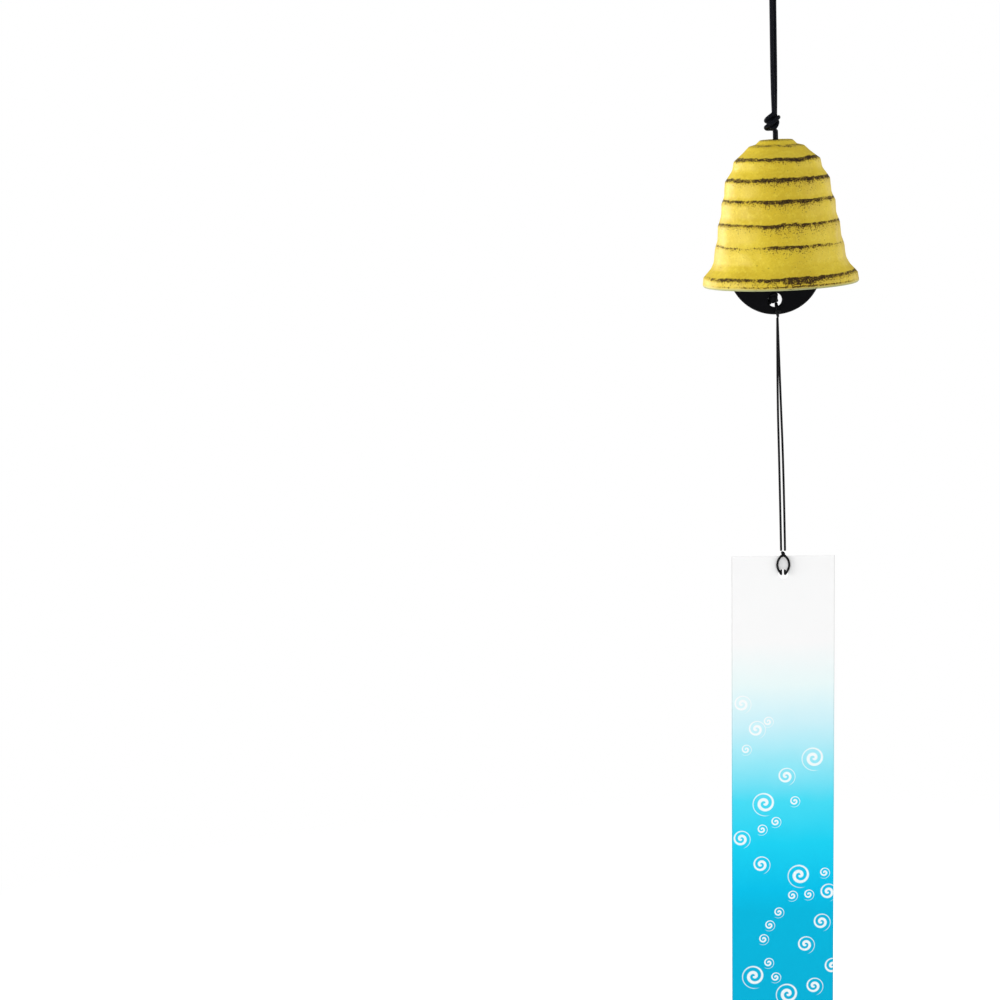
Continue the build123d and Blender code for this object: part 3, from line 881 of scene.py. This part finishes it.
line_amount = line_strengths + 0.12 * waves(place, 3, 12, 24, seed=32)
wear = np.maximum(wear, line_amount * band(line_depth, 0.3, 0.4))
boss = 0.50 * np.exp(-(((plain_depth - 0.1) / 0.45) ** 2)) * (profile[:, :1] > 2 * hole)
chip = np.exp(-(((azimuth - 28) / 0.9) ** 2) - ((plain_depth - chip_depth) / 0.45) ** 2)
wear = np.maximum(np.maximum(wear, boss), chip) * outside
edge = np.clip((plain_depth - edge_depth) / 0.35, 0, 1) * (profile[:, :1] > rim - 1.6) * outside
print("wear from", round(float(wear.min()), 2), "to", round(float(wear.max()), 2))

# %% [markdown]
# The shader can read such numbers only if the mesh holds them, one for each point. A mesh attribute does
# that, and it stays with the mesh when the part is turned.

# %% Attributes on the skin
for name, values in (("wear", wear), ("edge", edge), ("inside", 1.0 - outside * np.ones(columns))):
    attribute = bell.data.attributes.new(name, "FLOAT", "POINT")
    attribute.data.foreach_set("value", values[:-1].astype(np.float32).ravel())
print("attributes kept for", len(bell.data.vertices), "points")


# %% [markdown]
# ### Iron skin
#
# Both the bell and the clapper are sand castings, so both have a grain: fine pits and a coarser
# unevenness. One node group gives the grain's height and two fields of specks, and each material uses
# it at its own strength.


# %% The casting grain as a node group
def grain_group():
    """Fine and coarse noise on the object's own coordinates, and rare round pits.

    The height is 0.35 of the fine noise + 0.65 of the coarse noise, less half of each pit.
    """
    tree, given, result = new_group(
        "casting_grain", {"Vector": "vector", "Fine scale": "value", "Coarse scale": "value"},
        {"Fine": "value", "Coarse": "value", "Pits": "value", "Height": "value"})
    fine = noise(tree, given["Vector"], given["Fine scale"], 2.5, 0.6)
    coarse = noise(tree, given["Vector"], given["Coarse scale"], 3.0, 0.55)
    cells = put(tree, "ShaderNodeTexVoronoi", {"Vector": given["Vector"], "Scale": given["Coarse scale"]})
    chance = put(tree, "ShaderNodeSeparateColor", {0: cells.outputs["Color"]}).outputs[0]
    near = ramp(tree, cells.outputs["Distance"], 0.10, 0.24, 1.0, 0.0)
    pits = times(tree, near, ramp(tree, chance, 0.92, 0.97))
    height = sum_of(tree, "MULTIPLY_ADD", fine, 0.35, times(tree, coarse, 0.65))
    height = minus(tree, height, times(tree, pits, 0.5))
    fill(tree, result, {"Fine": fine, "Coarse": coarse, "Pits": pits, "Height": height})
    return tree


grain = grain_group()
print("node group", grain.name, "with", len(grain.nodes), "nodes")


# %% [markdown]
# The paint is a matt, slightly chalky yellow, deeper in some places and paler in others. Where it is
# worn the brown-black ground shows. The very bottom of the rim is a pale grey-green line, and inside the
# bell there is only the dark ground.


# %% Worn yellow paint
def painted_iron():
    """Paint is bare where wear + specks is high, stained where it is middling, and sound elsewhere."""
    material, tree, shader = new_material("painted_iron")
    place = own_place(tree)
    sand = place_group(tree, grain, {"Vector": place, "Fine scale": 1600.0, "Coarse scale": 560.0})
    fine, coarse = sand["Fine"], sand["Coarse"]
    worn, edge_line, inner = (put(tree, "ShaderNodeAttribute", attribute_name=name).outputs["Fac"]
                              for name in ("wear", "edge", "inside"))

    # Sound paint: soft clouds, paler on the coarse grain, darker in the fine hollows
    cloud = ramp(tree, noise(tree, place, 60.0, 2.0), 0.35, 0.65)
    paint = mix(tree, cloud, colour(203, 175, 26), colour(213, 187, 36))
    paint = mix(tree, ramp(tree, coarse, 0.45, 0.70, 0.0, 0.40), paint, colour(232, 212, 64))
    paint = mix(tree, ramp(tree, fine, 0.46, 0.28, 0.0, 0.30), paint, colour(146, 116, 10))

    # Stained and then bare paint, broken into specks by the grain, with islands left in the bare places
    from_coarse = times(tree, minus(tree, coarse, 0.5), 0.9)
    speck = sum_of(tree, "MULTIPLY_ADD", minus(tree, fine, 0.5), 2.3, from_coarse)
    stain = sum_of(tree, "MULTIPLY_ADD", speck, 0.8, worn)
    paint = mix(tree, ramp(tree, stain, 0.24, 0.64, 0.0, 0.38), paint, colour(138, 100, 14))
    paint = mix(tree, times(tree, edge_line, 0.85), paint, colour(150, 158, 118))
    bare = ramp(tree, plus(tree, worn, speck), 0.46, 0.84)
    left = times(tree, ramp(tree, coarse, 0.56, 0.62), ramp(tree, fine, 0.50, 0.60))
    bare = times(tree, bare, sum_of(tree, "MULTIPLY_ADD", left, -0.4, 1.0))
    bare = greater(tree, greater(tree, bare, times(tree, sand["Pits"], 0.45)), inner)

    # The ground lies lower than the paint, and is darker and rougher
    ground = mix(tree, ramp(tree, fine, 0.35, 0.70), colour(24, 10, 0), colour(70, 46, 4))
    height = minus(tree, sand["Height"], times(tree, bare, 0.35))
    fill(tree, shader, {
        "Base Color": mix(tree, bare, paint, ground), "Normal": bump(tree, height, 0.6, 0.24 * MM),
        "Roughness": ramp(tree, bare, 0.0, 0.6, 0.50, 1.0, kind="LINEAR"), "Specular IOR Level": 0.4})
    return material


dress(bell, painted_iron(), "bell", "painted_iron", "bell_shell")
print("bell dressed in", bell.data.materials[0].name)


# %% [markdown]
# The clapper is flat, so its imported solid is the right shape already. It only needs its finish: black
# paint with a low gloss over a fine grain, a little greyer where it is rubbed.


# %% Black clapper
def black_iron():
    """Near-black paint, greyer and a little rougher where the coarse grain stands up."""
    material, tree, shader = new_material("black_iron")
    place = own_place(tree)
    sand = place_group(tree, grain, {"Vector": place, "Fine scale": 1900.0, "Coarse scale": 420.0})
    rubbed = ramp(tree, sand["Coarse"], 0.45, 0.75, 0.0, 0.3)
    fill(tree, shader, {
        "Base Color": mix(tree, rubbed, colour(3, 3, 7), colour(13, 14, 19)),
        "Roughness": ramp(tree, sand["Coarse"], 0.3, 0.7, 0.34, 0.48),
        "Normal": bump(tree, sand["Height"], 0.35, 0.1 * MM), "Specular IOR Level": 0.11})
    return material


def redress(node, material):
    """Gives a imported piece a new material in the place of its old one."""
    node.data.materials.clear()
    node.data.materials.append(material)
    print(node.name, "dressed in", material.name)


redress(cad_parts["clapper_plate"], black_iron())


# %% [markdown]
# ## The paper strip
#
# The strip is stiff white paper, printed on the front from white at the top to a deep water blue, with
# white whirls drifting over it like foam. Whirls like these are a common motif. Each is a spiral: the
# farther round the centre, the farther out, in even steps. A node group draws one whirl, and a table of
# places and sizes, given as shares of the strip, sets them out.


# %% One whirl as a node group
def whirl_group():
    """Ink where a point's distance to the nearest arm of a spiral is under half the line's width.

    Along the spiral the radius grows evenly with the angle, so (radius / step - angle) is a whole number
    of turns on it. The line is thick in the middle and thins out to its tail.
    """
    tree, given, result = new_group(
        "whirl", {"Vector": "vector", "Centre": "vector", "Size": "value", "Way": "value",
                  "Tail": "value", "Turns": "value", "Line": "value"}, {"Ink": "value"})
    offset = put(tree, "ShaderNodeVectorMath", {0: given["Vector"], 1: given["Centre"]},
                 operation="SUBTRACT").outputs[0]
    axes = put(tree, "ShaderNodeSeparateXYZ", {0: offset}).outputs
    across = times(tree, axes["X"], given["Way"])
    angle = sum_of(tree, "DIVIDE", sum_of(tree, "ARCTAN2", axes["Z"], across), 2 * pi)
    angle = sum_of(tree, "FRACT", plus(tree, angle, given["Tail"]))
    plane = put(tree, "ShaderNodeCombineXYZ", {"X": axes["X"], "Y": axes["Z"]}).outputs[0]
    distance = put(tree, "ShaderNodeVectorMath", {0: plane}, operation="LENGTH").outputs["Value"]
    step = sum_of(tree, "DIVIDE", given["Size"], given["Turns"])
    laps = sum_of(tree, "DIVIDE", distance, step)
    lap = sum_of(tree, "ROUND", minus(tree, laps, angle))
    wound = plus(tree, lap, angle)
    away = times(tree, sum_of(tree, "ABSOLUTE", minus(tree, laps, wound)), step)
    share = sum_of(tree, "DIVIDE", wound, given["Turns"])
    thick = times(tree, ramp(tree, share, 0.35, 1.0, 1.0, 0.15), given["Line"])
    blur = times(tree, given["Line"], 0.35)
    ink = put(tree, "ShaderNodeMapRange", {
        0: away, 1: minus(tree, thick, blur), 2: plus(tree, thick, blur), 3: 1.0, 4: 0.0},
        interpolation_type="SMOOTHSTEP").outputs[0]
    ended = ramp(tree, share, 0.97, 1.02, 1.0, 0.0)
    begun = ramp(tree, wound, -0.3, 0.0)
    fill(tree, result, {"Ink": times(tree, times(tree, ink, ended), begun)})
    return tree


whirl = whirl_group()
print("node group", whirl.name, "with", len(whirl.nodes), "nodes")

# %% [markdown]
# The large whirls wind one way with their tails at the lower left, the middling ones the other way with
# their tails at the lower right, and the small ones have their tails at the upper left.

# %% Where the whirls lie
whirl_kinds = {  # size in mm, way, tail angle as a share of a turn, turns, half the line's width in mm
    "large": (6.6, 1.0, 0.36, 2.15, 0.80), "middling": (5.0, -1.0, 0.36, 2.05, 0.66),
    "small": (3.2, -1.0, 0.10, 1.95, 0.42)}
whirl_shares = [  # across the strip from its left edge, down from its top edge, and the kind
    (0.10, 0.311, "middling"), (0.24, 0.365, "middling"), (0.355, 0.349, "small"), (0.14, 0.408, "small"),
    (0.80, 0.428, "large"), (0.53, 0.466, "middling"), (0.32, 0.524, "large"), (0.615, 0.520, "small"),
    (0.43, 0.564, "small"), (0.295, 0.580, "small"), (0.09, 0.600, "middling"), (0.285, 0.656, "middling"),
    (0.665, 0.680, "large"), (0.910, 0.675, "small"), (0.595, 0.724, "small"), (0.755, 0.722, "small"),
    (0.945, 0.717, "middling"), (0.46, 0.760, "small"), (0.37, 0.788, "small"), (0.31, 0.818, "small"),
    (0.88, 0.782, "middling"), (0.725, 0.831, "middling"), (0.36, 0.870, "small"), (0.215, 0.899, "large"),
    (0.43, 0.902, "small"), (0.99, 0.879, "middling"), (0.81, 0.922, "middling"), (0.55, 0.939, "large"),
    (0.12, 0.968, "small"), (0.33, 0.975, "middling"), (0.90, 0.978, "small")]
print(len(whirl_shares), "whirls")

# %% [markdown]
# The paper stays white for nearly a fifth of its length, and then the blue deepens quickly. A colour ramp
# with ten stops follows it. Soft noise shifts it a little up and down, as wet ink would.

# %% The strip's fade, from white to blue
fade_stops = [  # share of the way down, and the colour there
    (0.00, (250, 250, 250)), (0.18, (250, 250, 250)), (0.27, (235, 250, 250)), (0.35, (205, 242, 250)),
    (0.44, (148, 233, 248)), (0.52, (70, 220, 245)), (0.61, (26, 210, 243)), (0.71, (2, 193, 234)),
    (0.76, (2, 183, 222)), (1.00, (2, 176, 215))]


def fade(tree, place, height):
    """The colour at a height on the strip, read off a ramp that a soft blot makes a little uneven."""
    down = ramp(tree, height, strip_top, strip_top - strip_long, kind="LINEAR")
    uneven = sum_of(tree, "MULTIPLY_ADD", noise(tree, place, 70.0, 3.0), 0.02, -0.01)
    made = put(tree, "ShaderNodeValToRGB", {0: plus(tree, down, uneven)})
    stops = made.color_ramp.elements
    for stop, (share, shade) in zip((stops[0], stops[1]), (fade_stops[0], fade_stops[-1])):
        stop.position, stop.color = share, colour(*shade)
    for share, shade in fade_stops[1:-1]:
        stops.new(share).color = colour(*shade)
    return made.outputs[0]


print("a fade with", len(fade_stops), "stops")


# %% [markdown]
# The print hangs with the strip, so the coordinates are first turned back by the strip's lean. The long
# edges get painted shade: a thin grey line that sets the strip off from the white ground.


# %% Printed paper
def whirls(tree, place):
    """The most ink that any whirl of the table puts on a point."""
    ink = 0.0
    for across, fall, kind in whirl_shares:
        size, way, tail, turns, line = whirl_kinds[kind]
        centre = ((across - 0.5) * strip_wide, 0.0, strip_top - fall * strip_long)
        drawn = place_group(tree, whirl, {"Vector": place, "Centre": centre, "Size": size * MM, "Way": way,
                                          "Tail": tail, "Turns": turns, "Line": line * MM})["Ink"]
        ink = greater(tree, drawn, ink)
    return ink


def printed_paper():
    """The print is on the front only; the back and the fibres are plain paper."""
    material, tree, shader = new_material("printed_paper")
    place = put(tree, "ShaderNodeVectorRotate", {
        "Vector": own_place(tree), "Center": (0, 0, knot_middle), "Angle": -radians(strip_lean)},
        rotation_type="Y_AXIS").outputs[0]
    x, y, z = put(tree, "ShaderNodeSeparateXYZ", {0: place}).outputs
    printed = mix(tree, times(tree, whirls(tree, place), 0.92), fade(tree, place, z), colour(250, 253, 253))
    half_wide = strip_wide / 2
    # Painted shade: a thin grey line along each long edge of the strip
    painted_edge_shade = ramp(tree, sum_of(tree, "ABSOLUTE", x), half_wide - 0.5 * MM, half_wide - 0.2 * MM)
    printed = mix(tree, painted_edge_shade, printed, colour(228, 228, 228), "MULTIPLY")
    printed = mix(tree, 1.0, printed, colour(251, 251, 251), "MULTIPLY")
    is_front = ramp(tree, y, 0.05 * MM, -0.05 * MM, kind="LINEAR")
    fibre = noise(tree, place, 2200.0, 3.0)
    fill(tree, shader, {
        "Base Color": mix(tree, is_front, colour(246, 246, 243), printed),
        "Normal": bump(tree, fibre, 0.12, 0.05 * MM), "Roughness": 0.62, "Specular IOR Level": 0.05})
    return material


redress(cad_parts["paper_strip"], printed_paper())

# %% [markdown]
# ## Floor and light
#
# The photograph has a pure white ground. The floor lies a little below the strip. It is lit like the
# rest, catches the bell's soft shadow, and turns into plain white away from the bell, where only the
# camera sees it. Four soft lamps and a bright room light the bell as in a light tent.

# %% Floor
floor_height, half_side = cad_box[0].z - 0.10, 4.0
corners = [(x * half_side, y * half_side, floor_height) for x, y in ((-1, -1), (1, -1), (1, 1), (-1, 1))]
floor_mesh = bpy.data.meshes.new("floor")
floor_mesh.from_pydata(corners, [], [(0, 1, 2, 3)])
floor = add_object("floor", floor_mesh)

floor_material, tree, shader = new_material("floor_white")
fill(tree, shader, {"Base Color": (0.86, 0.86, 0.86, 1), "Roughness": 0.9, "Specular IOR Level": 0.1})
white, extra = (put(tree, "ShaderNodeEmission", {"Color": (1, 1, 1, 1), "Strength": strength}).outputs[0]
                for strength in (1.0, 0.30))
lit = put(tree, "ShaderNodeAddShader", {0: shader.outputs[0], 1: extra}).outputs[0]
rays = put(tree, "ShaderNodeLightPath").outputs
mirrored = greater(tree, rays["Is Glossy Ray"], rays["Is Transmission Ray"])
seen = greater(tree, rays["Is Camera Ray"], mirrored)
flat_place = put(tree, "ShaderNodeVectorMath", {0: own_place(tree), 1: (1.0, 1.0, 0.0)},
                 operation="MULTIPLY").outputs[0]
away = put(tree, "ShaderNodeVectorMath", {0: flat_place}, operation="LENGTH").outputs["Value"]
near, far = (put(tree, "ShaderNodeMixShader", {0: seen, 1: shader.outputs[0], 2: shown}).outputs[0]
             for shown in (lit, white))
surface = put(tree, "ShaderNodeMixShader", {0: ramp(tree, away, 0.35, 0.80), 1: near, 2: far}).outputs[0]
tree.links.new(surface, tree.nodes["Material Output"].inputs["Surface"])
floor.data.materials.append(floor_material)
print("floor at", round(floor_height, 3))

# %% [markdown]
# The lamps stand level with the bell, two in front and two behind, and face a point just below it. The
# room round them is white to the camera, dimmer as a light, and nearly dark in reflections, so that the
# paint keeps its matt look.

# %% Lamps and room
lamps = [  # name, place in metres, side in metres, watts
    ("key", (-1.47, -0.37, -0.10), 0.75, 13.5), ("rim_left", (-1.10, 1.00, -0.10), 0.65, 10),
    ("fill", (1.45, -0.40, -0.10), 1.1, 6), ("rim_right", (1.10, 1.00, -0.10), 0.6, 2)]
aim = Vector((0, 0, -0.2))
for name, stand, size, power in lamps:
    data = bpy.data.lights.new(name, "AREA")
    data.shape, data.size, data.energy = "SQUARE", size, power
    lamp = add_object(name, data)
    lamp.location = stand
    lamp.rotation_mode = "QUATERNION"
    lamp.rotation_quaternion = (aim - Vector(stand)).to_track_quat("-Z", "Y")

world = bpy.data.worlds.new("white_room")
bpy.context.scene.world = world
world.use_nodes = True
tree = world.node_tree
tree.nodes.clear()
rays = put(tree, "ShaderNodeLightPath").outputs
strength = ramp(tree, rays["Is Camera Ray"], 0.0, 1.0, 0.78, 1.0, kind="LINEAR")
strength = ramp(tree, rays["Is Glossy Ray"], 0.0, 1.0, strength, 0.12, kind="LINEAR")
room = put(tree, "ShaderNodeBackground", {"Color": (1, 1, 1, 1), "Strength": strength})
put(tree, "ShaderNodeOutputWorld", {"Surface": room.outputs[0]})
bpy.context.scene.view_settings.view_transform = "Standard"
print(len(lamps), "lamps and a white room")
